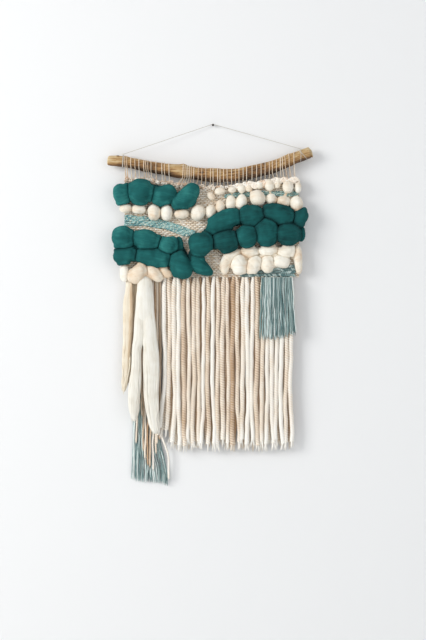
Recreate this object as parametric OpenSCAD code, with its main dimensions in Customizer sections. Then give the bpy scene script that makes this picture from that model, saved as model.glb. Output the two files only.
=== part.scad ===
// Woven wall hanging. A nail carries a thin cord, the cord carries a branch, and warp threads looped over the
// branch carry a small woven panel with bubbles of wool roving, weft bands, tassels and a long plied fringe.
// The origin is where the nail meets the wall. +X is right, +Z is up, and the front faces -Y.

/* [Nail] */
// Diameter of the shank inside the wall
shank_d = 2; // [1.6:0.1:2.2]
// Length of the shank inside the wall
shank_l = 20; // [12:1:30]
// Diameter of the neck that carries the cord
neck_d = 2.4; // [2.3:0.1:2.6]
// How far the neck stands out of the wall
neck_l = 8; // [7:0.5:10]
// Diameter of the head
head_d = 4.6; // [4:0.1:6]

/* [Branch and warp] */
// Distance of the branch's centre line from the wall
branch_y = 18; // [17:0.5:20]
// Thickness of the branch, as a share of its usual thickness
branch_fat = 1; // [0.95:0.01:1.02]
// Diameter of the hanging cord
cord_d = 1; // [0.8:0.1:1.2]
// Diameter of a warp thread
warp_d = 1.4; // [1:0.1:1.6]

/* [Woven panel] */
// Distance of the panel's middle from the wall
panel_y = 14; // [13.5:0.1:14.5]
// Thickness of the woven ground
panel_t = 3; // [2:0.1:3.2]
// Thickness of the weft bands that lie on the ground
band_t = 3; // [2:0.1:3.2]
// Diameter of the small knots along the top
top_knot_d = 3; // [2:0.1:3]

/* [Roving] */
// How far a bubble stands out, as a share of its height
bubble_depth = 0.76; // [0.7:0.01:0.82]
// How far the bubbles of the crowded teal cluster on the right stand out, as a share of their height
cluster_depth = 0.88; // [0.8:0.01:0.9]
// Size of the bubbles, as a share of their usual size
bubble_size = 1; // [0.9:0.01:1]

/* [Fringe and tassels] */
// Distance between the strands in one row of the fringe
strand_pitch = 9.8; // [9.7:0.1:11]
// Diameter of a plied strand
strand_d = 8.8; // [7:0.1:8.8]
// Length of the longest strands below the panel
strand_l = 350; // [250:5:360]
// Thickness of the front tails, as a share of their width
tail_flat = 0.35; // [0.3:0.05:0.6]
// Thickness of the side tail, as a share of its width
side_flat = 0.5; // [0.4:0.05:0.55]
// Diameter of a tassel's yarn
yarn_d = 2; // [1:0.1:2.2]

/* [Hidden] */

TEAL = "#196158";
CREAM = "#efe4d0";
IVORY = "#f6f1e6";
BLUE = "#86aeb2";
WOOD = "#a87d48";

// Planes, front to back.
ground_front = -panel_y - panel_t / 2;
band_back = ground_front - 0.3;
roving_back = -panel_y - 5.2;

// The panel's outline: its sides, its bottom, and its top edge as pairs of x and z under the branch.
panel_left = -178;
panel_right = 174;
panel_bottom = -306;
PANEL_TOP = [
    [-178, -106], [-140, -108], [-100, -113], [-60, -119], [-20, -122], [10, -123],
    [50, -121], [90, -116], [130, -109], [174, -107],
];

// The branch's centre line, as x, y, z and diameter.
BRANCH = [
    [-211, 0, -72, 19], [-194, 0, -73, 22], [-177, 0, -75, 23], [-152, 1, -80, 22], [-127, 0, -85, 23],
    [-96, -1, -90, 25], [-67, -1, -94, 28], [-37, 0, -98, 26], [0, 0, -102, 28], [28, 1, -102, 27],
    [53, 0, -100, 26], [93, 0, -92, 26], [117, -1, -86, 26], [143, -1, -76, 25], [167, 0, -66, 24],
    [183, 0, -60, 23], [197, 0, -55, 21],
];

// The hanging cord's route, from the knot on the left over the nail to the tie on the right.
CORD = [
    [-180, -18, -60], [-165, -16.9, -54.8], [-150, -15.8, -49.6], [-120, -13.7, -39.3], [-90, -11.5, -28.9],
    [-60, -9.3, -18.5], [-30, -7.2, -8.2], [-10, -5.7, -1.3], [-3, -5.1, 1.1], [-1.2, -5, 1.6], [0, -5, 1.8],
    [1.2, -5, 1.6], [3, -5.1, 1], [10, -5.7, -1], [30, -7.2, -6.8], [60, -9.4, -15.5],
    [90, -11.6, -24.3], [120, -13.8, -33], [150, -16, -41.7], [163, -17, -45.5], [175, -18, -49],
];
knot_x = -180;
tie_x = 175;
knot_d = 4.4;
tie_d = 4;
ring_gap = 1.2;
knot_gap = 0.4;
tie_gap = 1.2;

// A warp thread's gap to the branch, how far above the weave it ends, and how far apart its two ends are.
warp_gap = 0.5;
warp_above = 1.2;
warp_spread = 1.3;

// Each warp loop: x on the branch, and x where it enters the weave.
WARP_LEFT = [
    [-176, -175], [-172, -171], [-164, -163], [-156, -155], [-148, -147], [-138, -137], [-134, -132],
    [-130, -127], [-124, -122], [-114, -113], [-102, -101], [-97, -95], [-88, -87],
];
WARP_FAN = [[-59, -71], [-55, -65], [-51, -59], [-47, -53], [-43, -47], [-38, -41], [-29, -34]];
WARP_MIDDLE = [
    [-22, -24], [-14, -16], [-5, -7], [0, 0], [9, 8], [14, 14], [21, 22], [28, 30], [37, 37], [45, 44],
    [52, 51], [60, 59], [67, 66],
];
WARP_RIGHT = [
    [78, 77], [87, 86], [96, 95], [104, 104], [112, 113], [118, 122], [126, 130], [134, 136], [138, 142],
    [143, 149], [151, 156], [161, 164],
];

// Bubbles of roving: x, z, long size, short size, and tilt of the long axis in degrees, up to the right.
TEAL_TOP = [[-183, -139, 38, 31, 90], [-144, -134, 48, 45, 90], [-97, -140.5, 48, 35, 25]];
TEAL_LEFT_UPPER = [[-181, -225.5, 42, 39, 90], [-133, -230, 51, 36, -12], [-90, -241.5, 33, 31, 22]];
TEAL_LEFT_LOWER = [[-177, -262, 44, 30, 14], [-119, -267, 66, 29, -9], [-62, -284.5, 52, 37, 110]];
TEAL_RIGHT_UPPER = [
    [21, -196.5, 70, 33, 26], [76.5, -184.5, 43, 34, -5], [130, -181.5, 61, 32, -13],
    [175.5, -187, 31, 25, 55],
];
TEAL_RIGHT_LOWER = [
    [-25, -240, 46, 44, 0], [25, -234.5, 44, 38, 8], [67, -224, 38, 38, 0], [106.5, -216.5, 48, 37, 92],
    [149.5, -221, 42, 36, 0],
];
CREAM_MIDDLE_LEFT = [
    [-174.5, -168.5, 22, 18, 0], [-148, -170, 26, 18, 0], [-118, -177, 31, 23, 90],
    [-92.5, -177.5, 31, 21, 90], [-63, -180, 28, 18, 5], [-30, -177.5, 31, 25, 70], [-5, -175, 25, 18, 85],
];
CREAM_MIDDLE_RIGHT = [
    [14.5, -165, 25, 16, 95], [35.5, -158, 30, 18, 90], [56.5, -156, 29, 20, 78],
    [116.5, -150, 20, 19, 90], [141, -155, 25, 21, -10], [167, -159.5, 29, 23, 90],
];
CREAM_TOP_RIGHT = [
    [-4, -144, 19, 12, 130], [14, -134, 21, 14, 10], [38, -131, 15, 13, 0], [57, -129.5, 16, 14, 90],
    [72, -128, 14, 12, 90], [93, -121.5, 16, 13, 90], [112.5, -122, 23, 17, 90], [129, -118, 22, 12, 80],
    [149.5, -126, 24, 20, 90], [170, -127, 21, 12, 90],
];
CREAM_LOW_UPPER = [[73.5, -254.5, 31, 20, 0], [110.5, -251.5, 34, 20, 12], [147.5, -254, 31, 21, 10]];
CREAM_LOW_LOWER = [[52.2, -283, 37, 27, 88], [109, -281.5, 33, 22, 88], [137.5, -276, 31, 22, -15]];
EDGE_STRAND = [170.5, -271, 60, 15, 92];
EDGE_END = [-177, -298, 34, 17, 92];
FOLD_WIDE = [-150, -299, 42, 29, 58];
FOLD_FRONT = [-116.5, -299, 40, 21, -48];
FOLD_BACK = [-94.2, -295.8, 30, 14, -42];

// Bent bubbles: their centre lines, as x, z and diameter.
TEAL_BANANA = [
    [-78, -160, 16], [-69, -155.5, 26], [-56, -148.5, 34], [-44, -135.5, 34], [-37, -125.5, 24],
    [-35, -121.5, 12],
];
TEAL_LEAF = [[-40, -268, 12], [-35, -274.5, 25], [-26, -284, 31], [-13, -293, 22], [-2, -299.5, 8]];
TEAL_TUCK = [[-69, -229, 8], [-66.5, -237, 12], [-65.5, -245, 12], [-67, -251, 8]];
TEAL_TAIL = [[177, -209, 6], [178, -215, 12], [178, -225, 12], [176, -232, 6]];
CREAM_HEART = [[82, -134, 12], [84, -140, 23], [89, -149, 30], [92, -157, 23], [93, -162, 12]];
CREAM_WAIST = [[90, -267, 8], [88, -271, 18], [84, -277, 23], [80, -284, 22], [79, -291, 25], [79, -299, 14]];
CREAM_ARCH = [[55, -255.5, 8], [45, -258, 15], [34, -263, 19], [26, -272, 19], [23, -285, 17], [24, -300, 8]];

// Weft bands: their outlines, as x and z.
BAND_LEFT = [
    [-178, -181], [-140, -184], [-100, -191], [-60, -205], [-34, -214], [-34, -227], [-60, -222], [-100, -208],
    [-140, -203], [-178, -203],
];
BAND_RIGHT = [[22, -140], [80, -134], [172, -133], [172, -143], [80, -145], [22, -147]];
BAND_SOUMAK = [[53, -290], [95, -295], [130, -288], [155, -283], [155, -305], [130, -305], [53, -305]];

// Loose ends of roving: x, y, z and width of the centre line.
FRONT_TRUNK = [
    [-135, -30, -326, 12], [-135.5, -30, -336, 34], [-136.5, -30, -373, 38], [-136, -30, -400, 42],
    [-135, -30, -425, 44], [-135, -30, -440, 26],
];
FRONT_PRONG_LEFT = [
    [-151, -30, -425, 12], [-152, -30, -448, 18], [-153, -30, -491, 21], [-156, -30, -520, 25],
    [-158, -29, -548, 24], [-158, -29, -577, 20], [-157, -29, -600, 5],
];
FRONT_PRONG_RIGHT = [
    [-124, -30, -425, 20], [-124, -30, -448, 30], [-123.5, -30, -491, 32], [-123.5, -30, -520, 31],
    [-122, -29, -548, 30], [-120, -29, -577, 26], [-116, -29, -606, 18], [-114, -29, -627, 5],
];
SIDE_ROVING = [
    [-166, -18, -322, 8], [-168.5, -18, -345, 19], [-170, -18, -380, 20], [-170, -18, -411, 19],
    [-173, -18, -461, 19], [-175, -18, -491, 17], [-177, -18, -520, 12], [-178, -18, -540, 5],
];

// Tassels: x from and to at the top, x from and to at the bottom, top z, depth of both rows, yarns in a row.
LEFT_TASSEL = [[-156, -108], [-161, -106], -322, [-4.5, -7], 15];
RIGHT_TASSEL = [[98, 158], [94, 165], -322, [-26.5, -29], 18];
// The height of a tassel's end, as pairs of x and z.
LEFT_TASSEL_END = [[-165, -712], [-138, -718], [-112, -724], [-107, -726]];
RIGHT_TASSEL_END = [[94, -432], [120, -432], [140, -428], [165, -423]];

// Fringe: where the strands start and end in x, the height of their tops, and the depth of the two rows.
fringe_from = -98;
fringe_to = 166;
fringe_top = -318;
row_y = [-19.5, -12];
strand_ragged = 14;
strand_seed = 7;
strand_count = floor((fringe_to - fringe_from) / strand_pitch);
third = floor(strand_count / 3);

// How much shorter the leftmost strands are, and over what width.
left_short = 34;
left_zone = 22;

// How uneven the ends of a tassel's yarns are.
yarn_ragged = 4;

function unit(v) = v / norm(v);

// A smooth curve through all the points of p, with n steps from each point to the next.
function smooth(p, n) = [
    for (i = [0 : len(p) - 2])
        for (k = [0 : n - 1])
            blend_point(p[max(i - 1, 0)], p[i], p[i + 1], p[min(i + 2, len(p) - 1)], k / n),
    p[len(p) - 1],
];
function blend_point(a, b, c, d, t) =
    (2 * b + (c - a) * t + (2 * a - 5 * b + 4 * c - d) * pow(t, 2) + (3 * b - a - 3 * c + d) * pow(t, 3)) / 2;

function xyz(p) = [p[0], p[1], p[2]];
function direction(p, i) = unit(xyz(p[min(i + 1, len(p) - 1)]) - xyz(p[max(i - 1, 0)]));

// One ring of a swept tube, round point i of p. across is a direction that the curve never follows.
function ring(p, i, sides, across, depth) =
    let (
        along = direction(p, i),
        side = unit(cross(along, across)),
        up = cross(side, along),
        r = p[i][3] / 2
    )
    [for (k = [0 : sides - 1]) xyz(p[i]) + r * (cos(360 * k / sides) * side + depth * sin(360 * k / sides) * up)];

// A closed tube along p, whose points are x, y, z and diameter.
module tube(p, sides = 12, across = [0, 1, 0], depth = 1) {
    n = len(p);
    points = [for (i = [0 : n - 1]) each ring(p, i, sides, across, depth)];
    walls = [
        for (i = [0 : n - 2])
            for (k = [0 : sides - 1])
                let (a = i * sides + k, b = i * sides + (k + 1) % sides)
                    each [[a, b, a + sides], [b, b + sides, a + sides]],
    ];
    first = [for (k = [sides - 1 : -1 : 0]) k];
    last = [for (k = [0 : sides - 1]) (n - 1) * sides + k];
    polyhedron(points, concat([first], walls, [last]));
}

// Half the outline of a bubble, a little fuller than an ellipse.
function bubble_outline(long, short) = [
    for (a = [0 : 15 : 180])
        [short / 2 * pow(sin(a), 0.85), -long / 2 * sign(cos(a)) * pow(abs(cos(a)), 0.85)],
];

// Everything in front of the plane y = back.
module front_of(back) {
    translate([-300, back - 200, -800])
        cube([600, 200, 900]);
}

// A bubble of roving that sits on the weave and is flat at its back.
module bubble(b, depth = bubble_depth) {
    long = b[2] * bubble_size;
    short = b[3] * bubble_size;
    intersection() {
        translate([b[0], roving_back - (depth - 0.5) * short, b[1]])
            rotate([0, -b[4], 0])
                rotate([0, 90, 0])
                    rotate_extrude($fn = 48)
                        polygon(bubble_outline(long, short));
        front_of(roving_back);
    }
}

// A bent bubble along a centre line of x, z and diameter.
module bent_bubble(line) {
    fat = max([for (p = line) p[2]]);
    y = roving_back - (bubble_depth - 0.5) * fat;
    route = [for (p = line) [p[0], y, p[1], p[2] * bubble_size]];
    intersection() {
        tube(smooth(route, 3));
        front_of(roving_back);
    }
}

module band(outline) {
    translate([0, band_back, 0])
        rotate([90, 0, 0])
            linear_extrude(band_t - 0.4)
                polygon(outline);
}

function branch_curve() = smooth([for (p = BRANCH) [p[0], p[1] - branch_y, p[2], p[3] * branch_fat]], 3);

// The branch's centre and diameter at x.
function branch_at(x) =
    let (c = branch_curve())
    [
        lookup(x, [for (p = c) [p[0], p[1]]]),
        lookup(x, [for (p = c) [p[0], p[2]]]),
        lookup(x, [for (p = c) [p[0], p[3]]]),
    ];

// The branch's slope at x, in degrees.
function branch_slope(x) = atan2(branch_at(x + 5)[1] - branch_at(x - 5)[1], 10);

// A warp thread round the branch at x = top, with both ends at the panel's top edge at x = bottom.
// Where the branch slopes, its upright section is taller than it is deep, and so is the thread's loop.
module warp_loop(top, bottom) {
    b = branch_at(top);
    stretch = 1 / cos(branch_slope(top));
    r = b[2] / 2 + warp_d / 2 + warp_gap;
    end_z = lookup(bottom, PANEL_TOP) + warp_above;
    drop = [-panel_y - b[0], (end_z - b[1]) / stretch];
    aim = atan2(drop[1], drop[0]);
    open = acos(min(r / norm(drop), 0.999));
    steps = 9;
    arc = [
        for (k = [0 : steps])
            let (
                a = aim - open - (360 - 2 * open) * k / steps,
                lean = (bottom - top) * 0.1 * abs(k - steps / 2) / steps
            )
                [top + lean, b[0] + r * cos(a), b[1] + stretch * r * sin(a), warp_d],
    ];
    front_end = [bottom - warp_spread, -panel_y - warp_spread / 2, end_z, warp_d];
    back_end = [bottom + warp_spread, -panel_y + warp_spread / 2, end_z, warp_d];
    tube(concat([back_end], arc, [front_end]), sides = 6, across = [1, 0, 0]);
}

module wall_nail() {
    color("dimgray") {
        rotate([-90, 0, 0])
            cylinder(h = shank_l, d = shank_d, $fn = 32);
        translate([0, shank_l, 0])
            rotate([-90, 0, 0])
                cylinder(h = 3, d1 = shank_d, d2 = 0.2, $fn = 32);
        rotate([90, 0, 0])
            cylinder(h = neck_l, d = neck_d, $fn = 32);
        translate([0, -neck_l, 0])
            rotate([90, 0, 0])
                cylinder(h = 1, d = head_d, $fn = 32);
    }
}

module hanging_cord() {
    color("gainsboro")
        tube([for (p = CORD) [p[0], p[1], p[2], cord_d]], sides = 8);
}

// A ring of cord round the branch at x, leaning by so many degrees from square to the branch.
module cord_ring(x, lean) {
    b = branch_at(x);
    r = (b[2] / 2 + cord_d / 2 + ring_gap) / cos(lean);
    translate([x, b[0], b[1]])
        rotate([0, lean - branch_slope(x), 0])
            rotate([0, 90, 0])
                rotate_extrude($fn = 48)
                    translate([r, 0])
                        circle(d = cord_d, $fn = 16);
}

module cord_knot_left() {
    b = branch_at(knot_x);
    color("gainsboro") {
        cord_ring(knot_x, -5);
        translate([knot_x, b[0], b[1] + (b[2] + knot_d) / 2 + knot_gap])
            sphere(d = knot_d, $fn = 32);
    }
}

module cord_tie_right() {
    b = branch_at(tie_x);
    color("gainsboro") {
        cord_ring(tie_x, 20);
        cord_ring(tie_x + 4, -25);
        translate([tie_x, b[0], b[1] + (b[2] + tie_d) / 2 + tie_gap])
            sphere(d = tie_d, $fn = 32);
    }
}

module branch() {
    color(WOOD)
        tube(branch_curve(), sides = 16);
}

module warp_loops() {
    color(CREAM)
        for (w = concat(WARP_LEFT, WARP_FAN, WARP_MIDDLE, WARP_RIGHT))
            warp_loop(w[0], w[1]);
}

module woven_ground() {
    top = [for (x = [panel_right : -8 : panel_left]) [x, lookup(x, PANEL_TOP)]];
    outline = concat([[panel_left, panel_bottom], [panel_right, panel_bottom]], top);
    color(CREAM)
        translate([0, panel_t / 2 - panel_y, 0])
            rotate([90, 0, 0])
                linear_extrude(panel_t)
                    polygon(outline);
}

module top_knots() {
    color(CREAM)
        for (x = [panel_left + 5 : 8 : panel_right - 4])
            translate([x, ground_front - top_knot_d / 2 - 0.3, lookup(x, PANEL_TOP) - 3])
                sphere(d = top_knot_d, $fn = 24);
}

module weft_band_left() {
    color(BLUE)
        band(BAND_LEFT);
}

module weft_band_right() {
    color(BLUE)
        band(BAND_RIGHT);
}

module soumak_band() {
    color(BLUE)
        band(BAND_SOUMAK);
}

module bubbles(list, depth = bubble_depth) {
    for (b = list)
        bubble(b, depth);
}

module teal_roving_top() {
    color(TEAL) {
        bubbles(TEAL_TOP);
        bent_bubble(TEAL_BANANA);
    }
}

module teal_roving_left_upper() {
    color(TEAL) {
        bubbles(TEAL_LEFT_UPPER);
        bent_bubble(TEAL_TUCK);
    }
}

module teal_roving_left_lower() {
    color(TEAL) {
        bubbles(TEAL_LEFT_LOWER);
        bent_bubble(TEAL_LEAF);
    }
}

module teal_roving_right_upper() {
    color(TEAL)
        bubbles(TEAL_RIGHT_UPPER, cluster_depth);
}

module teal_roving_right_lower() {
    color(TEAL) {
        bubbles(TEAL_RIGHT_LOWER, cluster_depth);
        bent_bubble(TEAL_TAIL);
    }
}

module cream_roving_middle_left() {
    color(CREAM)
        bubbles(CREAM_MIDDLE_LEFT);
}

module cream_roving_middle_right() {
    color(CREAM) {
        bubbles(CREAM_MIDDLE_RIGHT);
        bent_bubble(CREAM_HEART);
    }
}

module cream_roving_top_right() {
    color(CREAM)
        bubbles(CREAM_TOP_RIGHT);
}

module cream_roving_low_upper() {
    color(CREAM)
        bubbles(CREAM_LOW_UPPER);
}

module cream_roving_low_lower() {
    color(CREAM) {
        bubbles(CREAM_LOW_LOWER);
        bent_bubble(CREAM_WAIST);
    }
}

module cream_roving_arch() {
    color(CREAM)
        bent_bubble(CREAM_ARCH);
}

module cream_edge_strand() {
    color(CREAM)
        bubble(EDGE_STRAND);
}

module roving_fold_wide() {
    color(CREAM)
        bubble(FOLD_WIDE);
}

module roving_fold_front() {
    color(CREAM)
        bubble(FOLD_FRONT);
}

module roving_fold_back() {
    color(CREAM)
        bubble(FOLD_BACK);
}

module roving_edge_end() {
    color(CREAM)
        bubble(EDGE_END);
}

// Strands of the fringe from index a up to b, in a front row and a back row.
module strands(a, b) {
    ragged = rands(0, strand_ragged, 2 * strand_count + 2, strand_seed);
    for (i = [a : b - 1])
        for (row = [0, 1]) {
            x = fringe_from + (i + row / 2) * strand_pitch;
            shorter = max(0, left_short * (1 - (x - fringe_from) / left_zone));
            low = panel_bottom - strand_l + ragged[2 * i + row] + shorter;
            if (x <= fringe_to - strand_d / 2)
                translate([x, row_y[row], low])
                    cylinder(h = fringe_top - low, d = strand_d, $fn = 24);
        }
}

module fringe_left() {
    color(CREAM)
        strands(0, third);
}

module fringe_middle() {
    color(CREAM)
        strands(third, 2 * third);
}

module fringe_right() {
    color(CREAM)
        strands(2 * third, strand_count + 1);
}

module front_roving() {
    color(IVORY) {
        tube(smooth(FRONT_TRUNK, 3), depth = tail_flat);
        tube(smooth(FRONT_PRONG_LEFT, 3), depth = tail_flat);
        tube(smooth(FRONT_PRONG_RIGHT, 3), depth = tail_flat);
    }
}

module side_roving() {
    color(CREAM)
        tube(smooth(SIDE_ROVING, 3), depth = side_flat);
}

// A straight yarn from a to b.
module yarn(a, b) {
    v = b - a;
    translate(a)
        rotate([0, acos(v[2] / norm(v)), atan2(v[1], v[0])])
            cylinder(h = norm(v), d = yarn_d, $fn = 16);
}

// A tassel of loose yarns in two rows, the back row half a pitch to the right.
module tassel(t, ends, seed) {
    n = t[4];
    ragged = rands(0, yarn_ragged, 2 * n, seed);
    for (i = [0 : n - 1])
        for (row = [0, 1]) {
            share = (i + row / 2) / n;
            top_x = t[0][0] + (t[0][1] - t[0][0]) * share;
            low_x = t[1][0] + (t[1][1] - t[1][0]) * share;
            yarn([top_x, t[3][row], t[2]], [low_x, t[3][row], lookup(low_x, ends) + ragged[2 * i + row]]);
        }
}

module left_tassel() {
    color(BLUE)
        tassel(LEFT_TASSEL, LEFT_TASSEL_END, 3);
}

module right_tassel() {
    color(BLUE)
        tassel(RIGHT_TASSEL, RIGHT_TASSEL_END, 5);
}

wall_nail();
hanging_cord();
cord_knot_left();
cord_tie_right();
branch();
warp_loops();
woven_ground();
top_knots();
weft_band_left();
weft_band_right();
soumak_band();
teal_roving_top();
teal_roving_left_upper();
teal_roving_left_lower();
teal_roving_right_upper();
teal_roving_right_lower();
cream_roving_middle_left();
cream_roving_middle_right();
cream_roving_top_right();
cream_roving_low_upper();
cream_roving_low_lower();
cream_roving_arch();
cream_edge_strand();
roving_fold_wide();
roving_fold_front();
roving_fold_back();
roving_edge_end();
fringe_left();
fringe_middle();
fringe_right();
front_roving();
side_roving();
left_tassel();
right_tassel();
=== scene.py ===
import math

import bpy
import numpy as np
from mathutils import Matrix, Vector
from mathutils.bvhtree import BVHTree


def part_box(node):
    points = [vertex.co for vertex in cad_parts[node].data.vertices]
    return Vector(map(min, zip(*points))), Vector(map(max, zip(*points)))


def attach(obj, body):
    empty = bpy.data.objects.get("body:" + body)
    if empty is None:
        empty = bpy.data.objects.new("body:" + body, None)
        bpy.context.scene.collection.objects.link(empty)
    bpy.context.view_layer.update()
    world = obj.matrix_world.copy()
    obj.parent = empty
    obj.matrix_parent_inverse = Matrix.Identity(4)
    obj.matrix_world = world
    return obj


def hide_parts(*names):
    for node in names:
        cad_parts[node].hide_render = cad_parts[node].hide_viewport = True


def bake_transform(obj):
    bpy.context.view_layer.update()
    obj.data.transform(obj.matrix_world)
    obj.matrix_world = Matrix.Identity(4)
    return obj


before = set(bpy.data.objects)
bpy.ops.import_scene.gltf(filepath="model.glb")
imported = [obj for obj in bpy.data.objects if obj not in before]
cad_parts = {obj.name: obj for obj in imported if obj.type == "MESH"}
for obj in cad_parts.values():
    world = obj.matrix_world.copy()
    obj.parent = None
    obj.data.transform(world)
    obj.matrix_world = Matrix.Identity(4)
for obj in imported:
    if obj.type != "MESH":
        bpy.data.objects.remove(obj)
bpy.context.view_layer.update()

MM = 0.001
TAU = 2 * math.pi
PANEL_Y = -14 * MM      # the middle of the woven panel


# ---------------------------------------------------------------- reading the frame

def node_arrays(name):
    """Vertices and triangles of a CAD node, in metres, with doubled vertices merged."""
    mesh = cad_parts[name].data
    co = np.empty(len(mesh.vertices) * 3)
    mesh.vertices.foreach_get("co", co)
    co = co.reshape(-1, 3)
    mesh.calc_loop_triangles()
    tri = np.empty(len(mesh.loop_triangles) * 3, np.int64)
    mesh.loop_triangles.foreach_get("vertices", tri)
    key = np.round(co / (0.002 * MM)).astype(np.int64)
    _, first, inverse = np.unique(key, axis=0, return_index=True, return_inverse=True)
    return co[first], inverse.reshape(-1)[tri].reshape(-1, 3)


def part_list(name):
    """The separate solids of a node, as (vertices, triangles), from left to right."""
    co, tri = node_arrays(name)
    label = np.arange(len(co))
    while True:
        low = label[tri].min(axis=1)
        new = label.copy()
        for corner in range(3):
            np.minimum.at(new, tri[:, corner], low)
        new = new[new]
        if (new == label).all():
            break
        label = new
    parts = []
    for one in np.unique(label[tri[:, 0]]):
        faces = tri[label[tri[:, 0]] == one]
        used, packed = np.unique(faces, return_inverse=True)
        parts.append((co[used], packed.reshape(-1, 3)))
    return sorted(parts, key=lambda p: (p[0][:, 0].min() + p[0][:, 0].max()))


def tree_of(co, faces):
    return BVHTree.FromPolygons(co.tolist(), faces.tolist())


def node_shape(name):
    """A tree of a CAD node for rays to meet, and the node's lowest and highest corner."""
    return tree_of(*node_arrays(name)), *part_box(name)


def height_span(tree, x, y):
    """Lowest and highest z of a solid on the vertical line through x, y, or None."""
    up = tree.ray_cast(Vector((x, y, -2)), Vector((0, 0, 1)))[0]
    down = tree.ray_cast(Vector((x, y, 1)), Vector((0, 0, -1)))[0]
    return None if up is None or down is None else (up.z, down.z)


# ---------------------------------------------------------------- making meshes

def link_object(name, data):
    made = bpy.data.objects.new(name, data)
    bpy.context.scene.collection.objects.link(made)
    return made


def make_object(name, co, faces, attributes=None, material=None):
    """A smooth-shaded mesh object from vertices and faces, with named attributes for its vertices."""
    faces = np.asarray(faces)
    mesh = bpy.data.meshes.new(name)
    mesh.vertices.add(len(co))
    mesh.vertices.foreach_set("co", np.asarray(co, np.float32).ravel())
    mesh.loops.add(faces.size)
    mesh.loops.foreach_set("vertex_index", faces.ravel().astype(np.int32))
    mesh.polygons.add(len(faces))
    mesh.polygons.foreach_set("loop_start", np.arange(0, faces.size, faces.shape[1], dtype=np.int32))
    mesh.polygons.foreach_set("use_smooth", np.ones(len(faces), bool))
    mesh.update(calc_edges=True)
    mesh.validate()
    for key, value in (attributes or {}).items():
        value = np.asarray(value, np.float32)
        kind, field = ("FLOAT", "value") if value.ndim == 1 else ("FLOAT_VECTOR", "vector")
        mesh.attributes.new(key, kind, "POINT").data.foreach_set(field, value.ravel())
    if material:
        mesh.materials.append(material)
    return link_object(name, mesh)


def normals_of(co, quads):
    """Smooth vertex normals of a mesh of quads."""
    a, b, c, d = (co[quads[:, corner]] for corner in range(4))
    flat = np.cross(c - a, d - b)
    out = np.zeros_like(co)
    for corner in range(4):
        np.add.at(out, quads[:, corner], flat)
    return out / np.maximum(np.linalg.norm(out, axis=1, keepdims=True), 1e-12)


def soften(value, faces, rounds):
    """Averages a vertex value, or vertex positions, with the neighbours on each face."""
    for _ in range(rounds):
        total = np.zeros_like(value)
        count = np.zeros(len(value))
        mean = value[faces].mean(axis=1)
        for corner in range(faces.shape[1]):
            np.add.at(total, faces[:, corner], mean)
            np.add.at(count, faces[:, corner], 1)
        count = np.maximum(count, 1)
        value = total / (count if value.ndim == 1 else count[:, None])
    return value


def unit(rows):
    return rows / np.linalg.norm(rows, axis=1, keepdims=True)


def points(x, y, z):
    """Rows of x, y, z. A single number stands for a whole column."""
    return np.stack(np.broadcast_arrays(x, y, z), axis=1).astype(float)


def distance_along(path):
    return np.concatenate([[0], np.cumsum(np.linalg.norm(np.diff(path, axis=0), axis=1))])


def ring_angles(sides):
    return np.arange(sides) * TAU / sides


def ring_walls(rings, sides):
    """Quads between rings of that many vertices."""
    start = np.arange(rings - 1)[:, None] * sides
    ring, after = start + np.arange(sides), start + (np.arange(sides) + 1) % sides
    return np.stack([ring, ring + sides, after + sides, after], axis=-1).reshape(-1, 4)


def fan_caps(rings, sides):
    """Quads that close the first and the last ring."""
    first = np.array([[0, k, k + 1, k + 2] for k in range(1, sides - 2, 2)])
    return np.concatenate([first, first[:, ::-1] + (rings - 1) * sides])


class Tubes:
    """Collects swept tubes into one mesh, with a tone for each and the distance along it."""

    def __init__(self):
        self.co, self.faces, self.tone, self.fibre, self.count = [], [], [], [], 0

    def gather(self, co, faces, tone, fibre):
        """Adds a finished mesh."""
        self.faces.append(faces + self.count)
        self.co.append(co)
        self.tone.append(tone)
        self.fibre.append(fibre)
        self.count += len(co)

    def add(self, path, radius, sides=8, tone=0.5, lobes=0, turns=0.0, lobe_depth=0.2, flat=1.0,
            across=(0, 1, 0), phase=0.0, groove=0.22):
        """A tube along path. lobes is how many plies its section has, and turns how often they turn in a metre.
        groove is how much darker the tone is painted between the plies, as painted shade.
        """
        path = np.asarray(path, float)
        n = len(path)
        radius = np.broadcast_to(np.asarray(radius, float), (n,))
        along = unit(np.gradient(path, axis=0))
        side = unit(np.cross(along, np.asarray(across, float)))
        up = np.cross(side, along)
        run = distance_along(path)
        angle = ring_angles(sides)
        spin = angle[None, :] + ((TAU * turns * run + phase)[:, None] if lobes else 0)
        size = np.repeat(radius[:, None], sides, axis=1)
        painted_ply_shade = np.zeros(sides)
        if lobes:
            ply = np.abs(np.cos(lobes / 2 * angle)) ** 0.7
            size = size * (1 - lobe_depth + lobe_depth * ply)
            # Painted shade: the tone is darker in the grooves between the plies.
            painted_ply_shade = groove * np.sin(lobes / 2 * angle) ** 2
        co = (path[:, None, :] + side[:, None, :] * (size * np.cos(spin))[..., None]
              + up[:, None, :] * (size * np.sin(spin) * flat)[..., None])
        tone = np.broadcast_to(np.asarray(tone, float), (n,))
        around = np.tile(angle / TAU, n)
        self.gather(co.reshape(-1, 3), np.concatenate([ring_walls(n, sides), fan_caps(n, sides)]),
                    (tone[:, None] - painted_ply_shade).ravel(), points(np.repeat(run, sides), around, len(self.tone) + 1))

    def build(self, name, material):
        return make_object(name, np.concatenate(self.co), np.concatenate(self.faces),
                           {"tone": np.concatenate(self.tone), "fibre": np.concatenate(self.fibre)}, material)


def wander(t, rng, amount, longest):
    """A smooth random curve over t, made of four sine waves, the longest of that wavelength."""
    out = np.zeros_like(t)
    for k in range(4):
        out += np.sin(TAU * t * (1 + 0.9 * k) / longest + rng.uniform(0, 7)) / (1 + k)
    return amount * out / 1.6


def smoothstep(low, high, x):
    t = np.clip((np.asarray(x, float) - low) / (high - low), 0, 1)
    return t * t * (3 - 2 * t)


# ---------------------------------------------------------------- materials

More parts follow.
